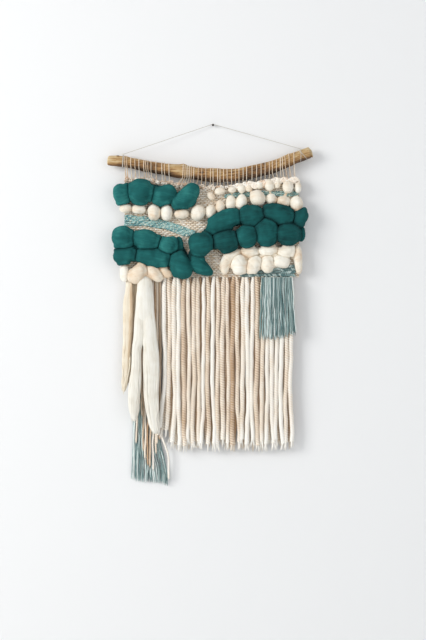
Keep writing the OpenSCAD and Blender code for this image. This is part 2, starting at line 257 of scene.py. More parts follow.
def linear(r, g, b):
    """A colour from 0 to 255 as the eye sees it, as linear light with alpha."""
    out = []
    for c in (r, g, b):
        c /= 255
        out.append(c / 12.92 if c <= 0.04045 else ((c + 0.055) / 1.055) ** 2.4)
    return (*out, 1)


class Nodes:
    """A new material and its nodes. An input takes a number, a vector or another node's output."""

    def __init__(self, name):
        self.material = bpy.data.materials.new(name)
        self.material.use_nodes = True
        self.tree = self.material.node_tree

    def plug(self, source, target):
        if hasattr(source, "is_output"):
            self.tree.links.new(source, target)
        else:
            target.default_value = source

    def add(self, kind, inputs, **settings):
        made = self.tree.nodes.new("ShaderNode" + kind)
        for key, value in settings.items():
            setattr(made, key, value)
        for socket, source in inputs.items():
            self.plug(source, made.inputs[socket])
        return made

    def attribute(self, name, output):
        return self.add("Attribute", {}, attribute_name=name).outputs[output]

    def place(self):
        return self.add("TexCoord", {}).outputs["Object"]

    def stretched(self, vector, scale):
        return self.add("Mapping", {"Vector": vector, "Scale": scale}).outputs[0]

    def noise(self, vector, scale=1.0, detail=2.0, roughness=0.5, distortion=0.0):
        return self.add("TexNoise", {"Vector": vector, "Scale": scale, "Detail": detail, "Roughness": roughness,
                                     "Distortion": distortion}).outputs["Fac"]

    def math(self, operation, *values):
        return self.add("Math", dict(enumerate(values)), operation=operation).outputs[0]

    def sum_of(self, value, factor, plus):
        """value times factor, plus plus."""
        return self.math("MULTIPLY_ADD", value, factor, plus)

    def between(self, value, low, high):
        return self.add("MapRange", {"Value": value, "To Min": low, "To Max": high}).outputs[0]

    def bump(self, height, strength, distance):
        return self.add("Bump", {"Height": height, "Strength": strength, "Distance": distance}).outputs["Normal"]

    def ramp(self, factor, *stops):
        """A colour ramp over factor, from (place, colour) pairs."""
        made = self.add("ValToRGB", {"Fac": factor})
        elements = made.color_ramp.elements
        while len(elements) < len(stops):
            elements.new(0.5)
        for element, (place, colour) in zip(elements, stops):
            element.position = place
            element.color = linear(*colour)
        return made.outputs["Color"]

    def shader(self, inputs):
        """Sets inputs of the Principled shader and gives the material."""
        for socket, source in inputs.items():
            self.plug(source, self.tree.nodes["Principled BSDF"].inputs[socket])
        return self.material


def wool(name, dark, middle, light, fine=1.0, sheen=0.35, bump=0.35, streak=0.45, cloudy=0.3):
    """Unspun roving: fine fibres that follow the fibre attribute, with soft changes of tone."""
    m = Nodes(name)
    fibre = m.attribute("fibre", "Vector")
    fibres = m.noise(m.stretched(fibre, (60 * fine, 70 * fine, 3.7)), 1.0, 5.0, 0.65, 0.3)
    locks = m.noise(m.stretched(fibre, (16, 14, 1.3)), 1.0, 3.0)
    mixed = m.sum_of(fibres, streak, 0.5 * (1 - 1.7 * streak - cloudy))
    mixed = m.sum_of(locks, 0.7 * streak, mixed)
    mixed = m.sum_of(m.noise(m.place(), 45.0), cloudy, mixed)
    final = m.sum_of(m.math("SUBTRACT", m.attribute("tone", "Fac"), 0.5), 0.5, mixed)
    return m.shader({
        "Base Color": m.ramp(final, (0.25, dark), (0.5, middle), (0.75, light)),
        "Roughness": m.between(fibres, 0.82, 0.98), "Specular IOR Level": 0.2,
        "Normal": m.bump(m.sum_of(locks, 0.6, fibres), bump, 1.2 * MM),
        "Sheen Weight": sheen, "Sheen Roughness": 0.45, "Sheen Tint": linear(*light),
    })


def yarn(name, dark, middle, light, twist=330.0, spread=0.8, clouds=0.25, fleck=None):
    """Spun yarn: plies that wind round it, fuzz, and a tone of its own for each length."""
    m = Nodes(name)
    parts = m.add("SeparateXYZ", {"Vector": m.attribute("fibre", "Vector")}).outputs
    place = m.place()
    winding = m.sum_of(parts["X"], twist, m.math("MULTIPLY", parts["Y"], 4.0))
    wave = m.math("SINE", m.math("MULTIPLY", winding, TAU))
    fuzz = m.noise(place, 900.0, 4.0, 0.7)
    shift = m.math("SUBTRACT", m.attribute("tone", "Fac"), 0.5)
    base = m.sum_of(shift, spread, m.between(m.noise(place, 60.0), 0.5 - clouds, 0.5 + clouds))
    # The colour follows the winding too, darker in its troughs: painted shade between the plies.
    colour = m.ramp(m.sum_of(wave, 0.07, base), (0.2, dark), (0.5, middle), (0.8, light))
    if fleck:
        spots = m.ramp(m.noise(place, 420.0, 1.0), (0.52, (0, 0, 0)), (0.62, (255, 255, 255)))
        mixed = m.add("Mix", {"Factor": spots, "A": colour, "B": linear(*fleck)}, data_type="RGBA")
        colour = mixed.outputs["Result"]
    return m.shader({
        "Base Color": colour, "Roughness": m.between(fuzz, 0.85, 1.0), "Specular IOR Level": 0.2,
        "Normal": m.bump(m.sum_of(wave, 0.25, fuzz), 0.5, 0.7 * MM),
        "Sheen Weight": 0.3, "Sheen Roughness": 0.5, "Sheen Tint": linear(*light),
    })


def bark():
    """Dry branch: streaks along it, dark in the hollows, painted shade in the grooves and underneath, painted light
    on top, pale where it is cut.
    """
    m = Nodes("driftwood")
    place = m.place()
    streak = m.noise(m.stretched(place, (38, 320, 320)), 1.0, 6.0, 0.7, 0.6)
    blotch = m.noise(m.stretched(place, (28, 70, 70)), 1.0, 3.0)
    both = m.sum_of(blotch, 0.45, m.math("MULTIPLY", streak, 0.55))
    final = m.sum_of(m.math("SUBTRACT", m.attribute("tone", "Fac"), 0.5), 0.75, both)
    return m.shader({
        "Base Color": m.ramp(final, (0.1, (56, 38, 24)), (0.32, (108, 76, 46)), (0.47, (158, 118, 72)),
                             (0.6, (188, 154, 104)), (0.8, (212, 196, 160))),
        "Roughness": m.between(streak, 0.55, 0.85), "Normal": m.bump(streak, 0.6, 1.2 * MM),
    })


def steel():
    """Dull nail steel with a few scratches."""
    m = Nodes("nail_steel")
    spots = m.noise(m.place(), 700.0, 4.0)
    return m.shader({
        "Base Color": m.ramp(spots, (0.3, (52, 50, 48)), (0.7, (96, 93, 90))), "Metallic": 0.9,
        "Roughness": m.between(spots, 0.35, 0.6), "Normal": m.bump(spots, 0.3, 0.2 * MM),
    })


TEAL = wool("teal_wool", (8, 50, 51), (26, 94, 93), (62, 144, 138), sheen=0.04, bump=0.14, streak=0.25,
            cloudy=0.35)
CREAM = wool("cream_wool", (226, 202, 174), (241, 233, 217), (254, 252, 244), bump=0.3, streak=0.4,
             cloudy=0.6)
IVORY = wool("ivory_wool", (208, 198, 178), (234, 230, 219), (247, 246, 240), fine=0.8, sheen=0.2)
BEIGE = wool("beige_wool", (198, 174, 144), (230, 217, 194), (244, 238, 224), fine=0.8, sheen=0.2)
FRINGE = yarn("fringe_yarn", (186, 152, 118), (241, 225, 204), (254, 251, 244), 60, spread=0.75, clouds=0.06)
BLUE = yarn("blue_yarn", (98, 130, 132), (180, 202, 199), (234, 243, 240), 400, clouds=0.1)
TWEED = yarn("tweed_yarn", (84, 138, 146), (130, 182, 183), (196, 222, 216), 250, 0.5, 0.12, (222, 228, 214))
GROUND = yarn("ground_weave", (214, 184, 150), (243, 231, 213), (254, 250, 242), 260, clouds=0.12)
# Painted shadow: the colour of the sheet seen in the weave's gaps.
GAPS = yarn("ground_shadow", (150, 120, 92), (190, 162, 128), (214, 188, 156), 200)
CURLS = yarn("cream_yarn", (226, 190, 160), (246, 234, 218), (254, 250, 242), 300)
WARP = yarn("warp_cotton", (222, 192, 160), (242, 222, 196), (252, 242, 226), 420)
CORD = yarn("cord_cotton", (196, 192, 182), (222, 219, 211), (240, 238, 232), 500)
DRIFTWOOD = bark()
STEEL = steel()


# ---------------------------------------------------------------- camera and cord

camera_data = bpy.data.cameras.new("camera")
camera_data.lens = 85
camera = link_object("camera", camera_data)
camera.location = (0, -3.042, -0.3915)
camera.rotation_euler = (math.radians(90), 0, 0)
bpy.context.scene.camera = camera

# The hanging cord's route, in millimetres: from the knot on the left over the nail to the tie on the right.
CORD_ROUTE = [
    (-180, -18, -60), (-165, -16.9, -54.8), (-150, -15.8, -49.6), (-120, -13.7, -39.3), (-90, -11.5, -28.9),
    (-60, -9.3, -18.5), (-30, -7.2, -8.2), (-10, -5.7, -1.3), (-3, -5.1, 1.1), (-1.2, -5, 1.6), (0, -5, 1.8),
    (1.2, -5, 1.6), (3, -5.1, 1), (10, -5.7, -1), (30, -7.2, -6.8), (60, -9.4, -15.5),
    (90, -11.6, -24.3), (120, -13.8, -33), (150, -16, -41.7), (163, -17, -45.5), (175, -18, -49),
]
ROUTE = np.array(CORD_ROUTE) * MM
CORD_D = 1 * MM


def hanging_cord():
    curve = bpy.data.curves.new("hanging_cord", "CURVE")
    curve.dimensions = "3D"
    curve.bevel_depth = CORD_D / 2
    curve.bevel_resolution = 3
    curve.resolution_u = 6
    spline = curve.splines.new("BEZIER")
    spline.bezier_points.add(len(ROUTE) - 1)
    for point, place in zip(spline.bezier_points, ROUTE):
        point.co = place
        point.handle_left_type = "AUTO"
        point.handle_right_type = "AUTO"
    curve.use_fill_caps = True
    curve.materials.append(CORD)
    return link_object("cord", curve)


# ---------------------------------------------------------------- branch

BRANCH_Y = -18 * MM


def branch_sections(step):
    """x, centre z and radius of the CAD branch, every step along x."""
    tree, low, high = node_shape("branch")
    out = []
    for x in np.arange(low.x + 3 * MM, high.x - 3 * MM, step):
        span = height_span(tree, x, BRANCH_Y)
        if span:
            out.append((x, (span[0] + span[1]) / 2, (span[1] - span[0]) / 2))
    return np.array(out)


SECTIONS = branch_sections(2 * MM)


def branch_at(x):
    """Centre z and radius of the branch at x."""
    return [np.interp(x, SECTIONS[:, 0], SECTIONS[:, k]) for k in (1, 2)]


# Knots of the branch: x in millimetres, angle round it from the top towards the front, size in millimetres,
# height.
BRANCH_KNOTS = [(-59, -10, 9, 3.2), (-130, 60, 7, 1.2), (22, 150, 8, 1.6), (103, 35, 7, 1.4), (-22, 80, 6, 0.9),
                (150, -20, 8, 1.3), (-190, 30, 6, 1.0)]


def branch():
    low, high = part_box("branch")
    x = np.arange(low.x + 0.6 * MM, high.x - 0.6 * MM, 1.5 * MM)
    z, r = branch_at(x)
    slope = np.gradient(z, x)
    path = points(x, BRANCH_Y, z)
    sides = 56
    made = Tubes()
    made.add(path, r * np.cos(np.arctan(slope)) * 0.96, sides=sides)
    co, centre = made.co[0], np.repeat(path, sides, axis=0)
    out = co - centre
    outward = unit(out)
    around = np.arctan2(-outward[:, 1], outward[:, 2])
    run = co[:, 0] / MM
    rng = np.random.default_rng(11)

    def ripple(turns, long):
        return np.sin(run * TAU / long + turns * around + rng.uniform(0, 7))

    bulge = np.zeros(len(co))
    for _ in range(26):
        turns = rng.integers(1, 12)
        long = rng.uniform(14, 120)
        bulge += rng.uniform(0.3, 1) / (1 + 0.25 * turns) * ripple(turns, long)
    bulge *= 0.28
    groove = np.zeros(len(co))
    for _ in range(16):
        turns = rng.integers(12, 27)
        groove += ripple(turns, rng.uniform(30, 160))
    groove *= 0.06
    knot, hollow = np.zeros(len(co)), np.zeros(len(co))
    for at, angle, size, height in BRANCH_KNOTS:
        turn = (around - math.radians(angle) + math.pi) % TAU - math.pi
        far = np.hypot(run - at, turn * np.linalg.norm(out, axis=1) / MM) / size
        knot += height * np.exp(-far ** 2 * 2)
        hollow += np.exp(-(far * 2.6) ** 2)
    end = np.minimum(run - run.min(), run.max() - run)
    worn = 1 - 0.25 * np.exp(-end / 1.2)
    relief = bulge + groove + knot - 0.5 * hollow * (knot > 1)
    grown = out * worn[:, None] + outward * (relief * MM)[:, None]
    # Both cut ends slant.
    near_end = np.exp(-end / 14)
    lean = np.where(run < 0, -0.12, 0.22) * near_end
    co = centre + grown
    co[:, 0] -= lean * grown[:, 2]
    # Painted shade and light: darker underneath and in the grooves' troughs, lighter on top.
    under = smoothstep(0.2, 1.0, -outward[:, 2])
    top = smoothstep(-0.1, 1.0, outward[:, 2])
    tone = 0.5 + 0.12 * top - 0.42 * under + 0.08 * bulge - 0.175 * (groove < -0.08)
    tone += 0.3 * near_end - 0.8 * hollow
    tone += 0.14 * np.sin(run / 23 + 1) * np.sin(run / 61) + 0.06 * smoothstep(-120, -185, run)
    tone = np.where(end < 1.0, 0.9, tone)
    fibre = points(run * MM, around / TAU, 0)
    return make_object("driftwood_branch", co, made.faces[0], {"tone": tone, "fibre": fibre}, DRIFTWOOD)


# ---------------------------------------------------------------- threads on the branch

def branch_slope(x):
    return math.atan2(branch_at(x + 4 * MM)[0] - branch_at(x - 4 * MM)[0], 8 * MM)


def loop_path(top, bottom, end_z, thread):
    """The route of a thread from bottom, end_z, round the branch at top, and back."""
    z, upright = branch_at(top)
    stretch = 1 / math.cos(branch_slope(top))
    r = upright / stretch + thread / 2 + 0.35 * MM
    drop = np.array([PANEL_Y - BRANCH_Y, (end_z - z) / stretch])
    far = max(np.linalg.norm(drop), r * 1.001)
    aim, open_ = math.atan2(drop[1], drop[0]), math.acos(r / far)
    k = np.arange(19)
    a = aim - open_ - (TAU - 2 * open_) * k / 18
    arc = points(top + (bottom - top) * 0.12 * abs(k - 9) / 9, BRANCH_Y + r * np.cos(a),
                 z + stretch * r * np.sin(a))
    ends = [[[bottom + 1.1 * MM, -13.4 * MM, end_z - 2 * MM]],
            [[bottom - 1.1 * MM, -15.2 * MM, end_z - 2 * MM]]]
    return np.concatenate([ends[0], arc, ends[1]])


def resample(path, step):
    """The same path with evenly spaced points."""
    run = distance_along(path)
    count = max(int(run[-1] / step), 3)
    t = np.linspace(0, run[-1], count + 1)
    return points(*(np.interp(t, run, path[:, k]) for k in range(3)))


def warp_loops():
    made = Tubes()
    rng = np.random.default_rng(3)
    thread = 1.3 * MM
    for co, _ in part_list("warp_loops"):
        top = co[co[:, 2] > co[:, 2].max() - 0.6 * MM, 0].mean()
        low = co[:, 2].min()
        bottom = co[co[:, 2] < low + 0.8 * MM, 0].mean()
        path = loop_path(top, bottom, low, thread)
        path[:, 0] += wander(np.arange(len(path)) / len(path), rng, 0.25 * MM, 1.0)
        made.add(resample(path, 2 * MM), thread / 2, sides=7, tone=rng.uniform(0.25, 0.85), across=(1, 0, 0))
    return made.build("warp_threads", WARP)


def turns_round_branch(made, x, lean, turns, tone):
    """A few turns of cord round the branch at x, leaning by so many degrees."""
    z, r = branch_at(x)
    slope = branch_slope(x)
    thread = 0.9 * CORD_D
    r = r * math.cos(slope) + thread / 2 + 0.4 * MM
    t = np.linspace(0, turns, 36 * turns + 1)
    angle = TAU * t + math.pi / 2
    rise = np.sin(angle) * r
    along = (t - turns / 2) * 1.1 * MM + rise * math.tan(math.radians(lean))
    path = points(x + along * math.cos(slope) - rise * math.sin(slope), BRANCH_Y - r * np.cos(angle),
                  z + along * math.sin(slope) + rise * math.cos(slope))
    made.add(path, thread / 2, sides=8, tone=tone, across=(1, 0.02, 0.1))


def small_knot(made, centre, size):
    """A pulled-tight overhand knot."""
    t = np.linspace(0, TAU, 60)
    path = points(np.sin(t) + 2 * np.sin(2 * t), -np.sin(3 * t), np.cos(t) - 2 * np.cos(2 * t)) * size / 3.2
    made.add(path + centre, 0.55 * CORD_D, sides=8, tone=0.8, across=(0.13, 0.9, 0.21))


def cord_knots():
    left, right = Tubes(), Tubes()
    turns_round_branch(left, ROUTE[0, 0], -5, 2, 0.35)
    small_knot(left, ROUTE[0], 2 * MM)
    turns_round_branch(right, ROUTE[-1, 0], 20, 1, 0.35)
    turns_round_branch(right, ROUTE[-1, 0] + 4 * MM, -25, 1, 0.4)
    small_knot(right, ROUTE[-1], 1.8 * MM)
    return left.build("knot_left", CORD), right.build("tie_right", CORD)


# The nail's profile: y and radius in millimetres.
NAIL_PROFILE = [(23, 0.1), (20, 1.0), (19, 1.0), (0, 1.0), (0, 1.2), (-8, 1.2), (-8, 2.1), (-8.15, 2.3), (-8.7, 2.3),
                (-8.95, 2.1), (-9, 1.8), (-9, 0.02)]


def nail():
    sides = 40
    co = MM * np.array([[r * math.cos(a), y, r * math.sin(a)]
                        for y, r in NAIL_PROFILE for a in ring_angles(sides)])
    made = make_object("picture_nail", co, ring_walls(len(NAIL_PROFILE), sides), None, STEEL)
    made.data.set_sharp_from_angle(angle=math.radians(35))
    return made


# ---------------------------------------------------------------- bubbles of roving

NEAR = 15 * MM          # how far from a bubble its neighbours count
SWELL = 1.3 * MM        # how far a bubble swells where it is free
CREASE = 0.06 * MM      # the gap that is left between two bubbles


def rounded(part, voxel, rounds):
    """A CAD solid as an even, soft mesh: vertices and quads."""
    thing = make_object("rounding", *part)
    remesh = thing.modifiers.new("remesh", "REMESH")
    remesh.mode = "VOXEL"
    remesh.voxel_size = voxel
    shown = thing.evaluated_get(bpy.context.evaluated_depsgraph_get())
    mesh = shown.to_mesh()
    out = np.empty(len(mesh.vertices) * 3)
    mesh.vertices.foreach_get("co", out)
    quads = np.empty(len(mesh.loops), np.int64)
    mesh.loops.foreach_get("vertex_index", quads)
    out, quads = out.reshape(-1, 3), quads.reshape(-1, 4)
    shown.to_mesh_clear()
    bpy.data.objects.remove(thing)
    return soften(out, quads, rounds), quads


class Bubble:
    """One bubble of roving: its soft mesh, how far it may bulge, and how strongly it pushes."""

    def __init__(self, node, part, small, strength):
        self.node, self.small, self.strength = node, small, strength
        self.teal = node.startswith("teal")
        loose = any(word in node for word in ("low", "arch", "fold"))
        self.bulge = (7.5 if self.teal else 5.5 if loose else 3.4) * MM
        self.co, self.faces = rounded(part, (1.15 if small else 1.45) * MM, 6)
        self.used = np.zeros(len(self.co))
        self.measure()
        self.centre = (self.low + self.high) / 2
        self.size = self.high - self.low

    def measure(self):
        self.tree = tree_of(self.co, self.faces)
        self.low, self.high = self.co.min(0), self.co.max(0)

    def far_from(self, other, reach):
        return np.any(self.low - reach > other.high) or np.any(other.low - reach > self.high)

    def distance(self, co):
        """Signed distance of each point from the soft mesh, below 0 inside it."""
        out = np.full(len(co), 1.0)
        near = np.all((co > self.low - NEAR) & (co < self.high + NEAR), axis=1)
        for k in np.nonzero(near)[0]:
            spot, normal, _, gap = self.tree.find_nearest(Vector(co[k]))
            out[k] = gap if normal.dot(Vector(co[k]) - spot) > 0 else -gap
        return out

    def set_cap(self, normal):
        """How far each vertex may move: SWELL, or up to bulge on a flank that has a neighbour."""
        depth = self.high[1] - self.co[:, 1]
        flank = smoothstep(-0.86, -0.3, normal[:, 1]) * (1 - 0.6 * smoothstep(0.5, 1, depth / self.size[1]))
        beside = 1 - smoothstep(self.bulge, 2 * self.bulge, self.free)
        room = 0.2 + 0.8 * smoothstep(0, 6 * MM, depth)
        self.cap = (SWELL + (self.bulge - SWELL) * beside * flank) * room


def swell(bubbles):
    """Pushes the bubbles' flanks out until they press on each other, and a little where they are free.

    A stronger bubble takes more of the room between it and its neighbour."""
    for turn in range(3):
        grown = []
        for b in bubbles:
            b.free = np.full(len(b.co), 1.0)
            share = np.full(len(b.co), 1.0)
            for o in bubbles:
                if o is b or b.far_from(o, NEAR):
                    continue
                room = o.distance(b.co)
                b.free = np.minimum(b.free, room)
                share = np.minimum(share, (room - CREASE) * b.strength / (b.strength + o.strength))
            normal = normals_of(b.co, b.faces)
            if turn == 0:
                b.set_cap(normal)
            push = soften(np.minimum(b.cap - b.used, share), b.faces, 3)
            push = np.minimum(push, share)
            b.used = b.used + push
            grown.append(b.co + normal * push[:, None])
        for b, co in zip(bubbles, grown):
            b.co = co
            b.measure()
    for b in bubbles:
        b.co = soften(b.co, b.faces, 1)


def wrinkled(b, axis, rng):
    """A bubble's vertices with pleats, lumps and folds, and the fibre coordinates: along, around, bubble."""
    pleats, folds = (0.2, 0.25) if b.teal else (0.3, 0.7)
    size = b.size[[0, 2]].min()
    axis = axis / np.linalg.norm(axis)
    back = np.array([0.0, 1.0, 0.0])
    back -= axis * back.dot(axis)
    back /= np.linalg.norm(back)
    rel = b.co - b.centre
    along = rel @ axis
    around = np.arctan2(rel @ np.cross(axis, back), -(rel @ back))
    share = along / np.abs(along).max()
    twisted = around + 0.5 * share * rng.uniform(-1, 1)
    wave = np.zeros(len(b.co))
    for _ in range(5):
        turns = rng.integers(5, 15)
        wave += np.sin(turns * twisted + rng.uniform(0, 7) + 2.0 * np.sign(share)) / 5 ** 0.5
    lumps = np.zeros(len(b.co))
    for _ in range(6):
        way = rng.normal(0, 1, 3)
        pace = TAU / (rng.uniform(0.35, 0.9) * size * np.linalg.norm(way))
        lumps += np.sin(rel @ way * pace + rng.uniform(0, 7)) / 6 ** 0.5
    fold = smoothstep(0.75, 1.0, 1 - np.abs(np.sin(twisted + 2.2 * share + rng.uniform(0, 7))))
    lift = pleats * wave * smoothstep(0.35, 1.0, np.abs(share)) + 0.55 * lumps - folds * fold
    lift *= MM * min(1, size / (30 * MM))
    fibre = points(along, around / TAU, rng.uniform(0, 50))
    return b.co + normals_of(b.co, b.faces) * lift[:, None], fibre


# How deep the colour of each roving is, from 0, dark, to 1, light.
# The teal is painted darker towards the right and lower down: painted shade where the light from the upper left
# falls off.
NODE_TONE = {
    "teal_roving_top": 0.55, "teal_roving_left_upper": 0.56, "teal_roving_left_lower": 0.44,
    "teal_roving_right_upper": 0.36, "teal_roving_right_lower": 0.3, "roving_fold_wide": 0.14,
    "roving_fold_front": 0.2, "roving_fold_back": 0.0, "roving_edge_end": 0.6, "cream_edge_strand": 0.3,
}


def cores(bubbles, name, material, share, reach, tone):
    """The roving between each two neighbouring bubbles, where it dips back towards the weave."""
    made = Tubes()
    for k, a in enumerate(bubbles):
        for b in bubbles[k + 1:]:
            if a.far_from(b, reach) or a.distance(b.co).min() > reach:
                continue
            t = np.linspace(0.12, 0.88, 13)
            path = a.centre + np.outer(t, b.centre - a.centre)
            thick = share * min(a.size[0], a.size[2], b.size[0], b.size[2])
            path[:, 1] = PANEL_Y - 2 * MM - 0.45 * thick
            made.add(path, thick * (1 - 0.12 * np.sin(math.pi * t)), sides=20, tone=tone, flat=0.6)
    return made.build(name, material)


def node_wool(name, row, material):
    """A node's bubbles, from left to right, as one object."""
    made = Tubes()
    rng = np.random.default_rng(sum(ord(c) for c in name))
    for k, b in enumerate(row):
        before, after = row[max(k - 1, 0)], row[min(k + 1, len(row) - 1)]
        axis = after.centre - before.centre if len(row) > 1 else np.array([1.0, 0, 0.2])
        axis[1] = 0
        co, fibre = wrinkled(b, axis, rng)
        # Painted shade: the wool is darker in the creases where it presses on a neighbour.
        painted_crease_shade = soften(1 - smoothstep(0.5 * MM, 7 * MM, b.free), b.faces, 3)
        tone = NODE_TONE.get(name, 0.5) + rng.uniform(-0.09, 0.09) - (0.25 if b.teal else 0.2) * painted_crease_shade
        made.gather(co, b.faces, tone, fibre)
    return made.build(name + "_wool", material)


def roving_objects(nodes, small):
    """The wool of each node by its name, and the roving between the bubbles."""
    mix = np.random.default_rng(71)
    bubbles = [Bubble(n, part, n in small, mix.uniform(0.6, 1.6)) for n in nodes for part in part_list(n)]
    swell(bubbles)
    made = {n: node_wool(n, [b for b in bubbles if b.node == n], TEAL if n.startswith("teal") else CREAM)
            for n in nodes}
    dark = [b for b in bubbles if b.teal]
    tiny = [b for b in bubbles if b.small]
    rest = [b for b in bubbles if not b.teal and not b.small]
    between = [cores(dark, "teal_core", TEAL, 0.42, 4 * MM, 0.15),
               cores(rest, "cream_core", CREAM, 0.48, 7 * MM, 0.3),
               cores(tiny, "small_core", CREAM, 0.2, 8 * MM, 0.3)]
    return made, between


# ---------------------------------------------------------------- woven ground and bands

WARP_PITCH = 4.6 * MM
WEFT_ROWS = 50


def shadow_sheet_mesh(low, high, top_at):
    """A thin closed sheet with ripples in the weave's middle layer, which closes the small gaps and fills them with
    painted shadow.
    """
    wide, tall = 70, 40
    across = np.linspace(low.x + 1.5 * MM, high.x - 1.5 * MM, wide)
    layers = []
    for y in (PANEL_Y - 0.35 * MM, PANEL_Y + 0.35 * MM):
        for v in np.linspace(0, 1, tall):
            z = low.z + 1 * MM + v * (top_at(across) - low.z - 2 * MM)
            layers.append(points(across, y + 0.25 * MM * np.sin(across * 900 + v * 120), z))
    co = np.concatenate(layers)
    layer = wide * tall
    i = np.arange(wide - 1) + wide * np.arange(tall - 1)[:, None]
    front = np.stack([i, i + 1, i + wide + 1, i + wide], axis=-1).reshape(-1, 4)
    rim = np.array([*range(wide - 1), *range(wide - 1, layer - 1, wide), *range(layer - 1, layer - wide, -1),
                    *range(layer - wide, 0, -wide)])
    after = np.roll(rim, -1)
    edge = np.stack([rim, rim + layer, after + layer, after], axis=1)
    faces = np.concatenate([front, front[:, ::-1] + layer, edge])
    fibre = points(co[:, 0], co[:, 2] * 4, 0)
    return make_object("painted_shadow_sheet", co, faces, {"tone": np.full(len(co), 0.4), "fibre": fibre}, GAPS)


def woven_ground():
    """Weft yarn over and under the warp, in rows that follow the panel's top edge, and the warp itself."""
    tree, low, high = node_shape("woven_ground")
    xs = np.arange(low.x + 1 * MM, high.x - 1 * MM, 1.55 * MM)
    tops = np.array([height_span(tree, x, PANEL_Y)[1] for x in xs])
    rng = np.random.default_rng(17)
    weft, threads = Tubes(), Tubes()
    for k in range(WEFT_ROWS):
        z = low.z + (k + 0.5) / WEFT_ROWS * (tops - low.z) + wander(xs, rng, 0.35 * MM, 0.07)
        over = 1.25 * MM * np.sin(math.pi * xs / WARP_PITCH + math.pi * k)
        y = PANEL_Y + over + wander(xs, rng, 0.2 * MM, 0.05)
        tone = 0.62 + wander(xs, rng, 0.25, 0.03)
        thick = 1.75 * MM + wander(xs, rng, 0.15 * MM, 0.02)
        # Every other row turns back a little earlier.
        kept = slice(2, -2) if k % 2 else slice(None)
        weft.add(points(xs, y, z)[kept], thick[kept], sides=6, tone=tone[kept])
    for x in np.arange(low.x + 2 * MM, high.x - 2 * MM, WARP_PITCH):
        z = np.linspace(low.z - 0.5 * MM, np.interp(x, xs, tops) + 1 * MM, 12)
        threads.add(points(x, PANEL_Y, z), 0.6 * MM, sides=6, tone=0.4)
    sheet = shadow_sheet_mesh(low, high, lambda x: np.interp(x, xs, tops))
    return sheet, weft.build("weft_rows", GROUND), threads.build("warp_in_weave", WARP)


def band_rows(node, name, rows, radius, seed):
    """Rows of thick yarn that fill a band's outline, over and under the warp."""
    tree, low, high = node_shape(node)
    y = (low.y + high.y) / 2
    xs = np.arange(low.x + 0.8 * MM, high.x - 0.8 * MM, 1.4 * MM)
    bottoms, tops = np.array([height_span(tree, x, y) for x in xs]).T
    rng = np.random.default_rng(seed)
    made = Tubes()
    for k in range(rows):
        z = bottoms + (k + 0.5) / rows * (tops - bottoms) + wander(xs, rng, 0.9 * MM, 0.05)
        over = 1 * MM * np.sin(math.pi * xs / (WARP_PITCH * 1.02) + math.pi * k + rng.uniform(0, 1))
        path = points(xs, y + over + wander(xs, rng, 0.5 * MM, 0.04), z)
        size = radius * (1 + wander(xs, rng, 0.22, 0.025))
        tone = 0.5 + wander(xs, rng, 0.45, 0.035)
        made.add(path, size, tone=tone, lobes=3, turns=110, lobe_depth=0.25, groove=0.1)
    return made.build(name, TWEED)


def soumak():
    """Rows of slanted wrapping stitches that lean against each other, to just past the CAD band's right end."""
    tree, low, high = node_shape("soumak_band")
    y = (low.y + high.y) / 2
    rng = np.random.default_rng(23)
    made = Tubes()
    t = np.linspace(-1, 1, 11)
    size = 2.1 * MM * np.sqrt(np.maximum(1 - 0.82 * t ** 4, 0.05))
    for x in np.arange(low.x + 3 * MM, high.x + 8 * MM, 4.1 * MM):
        bottom, top = height_span(tree, min(x, high.x - 3 * MM), y)
        tall = top + 3 * MM - bottom
        rows = max(int(round(tall / (6 * MM))), 1)
        for k in range(rows):
            middle = bottom + (k + 0.5) * tall / rows
            lean = 1 if k % 2 else -1
            across = t * 3.4 * MM * rng.uniform(0.75, 1.0) + rng.uniform(-0.4, 0.4) * MM
            path = points(x + across, y - 1.6 * MM * (1 - t ** 2) + 0.2 * MM, middle + lean * t * 2.7 * MM)
            tone = np.clip(rng.normal(0.42, 0.2), 0, 1)
            made.add(path, size, sides=9, tone=tone, lobes=3, turns=140, lobe_depth=0.22)
    return made.build("soumak_stitches", BLUE)


def top_curls():
    """Small curly loops of yarn along the top of the weave, thicker and denser towards the right."""
    made = Tubes()
    rng = np.random.default_rng(29)
    low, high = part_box("top_knots")
    for co, _ in part_list("top_knots"):
        centre = (co.min(0) + co.max(0)) / 2
        rich = smoothstep(0.5, 0.8, (centre[0] - low.x) / (high.x - low.x))
        for _ in range(4 if rich > 0.5 else 2):
            t = np.linspace(0, TAU * rng.uniform(1.1, 1.9), 34)
            size = rng.uniform(1.7, 2.9) * MM * (1 + 0.9 * rich)
            turn = rng.uniform(0, 6.3)
            offset = [rng.uniform(-4, 4), rng.uniform(-2.2, 0.4) - 6 * rich,
                      rng.uniform(-3.5, 3.5) - 1.5 * rich]
            loop = points(size * np.cos(t + turn) * (1 + 0.35 * np.sin(2 * t)),
                          (0.7 + rich) * MM * np.sin(1.7 * t + turn), size * 0.85 * np.sin(t + turn))
            thick = rng.uniform(0.8, 1.2) * MM * (1 + 1.1 * rich)
            tone = rng.uniform(0.1, 0.95) + 0.15 * rich
            made.add(centre + np.array(offset) * MM + loop, thick, tone=tone, across=(0.1, 1, 0.1))
    return made.build("top_curls", CURLS)


# ---------------------------------------------------------------- fringe, tails and tassels

PANEL_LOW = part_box("woven_ground")[0].z
STRAND_TURNS = 102      # turns of a strand's plies in a metre


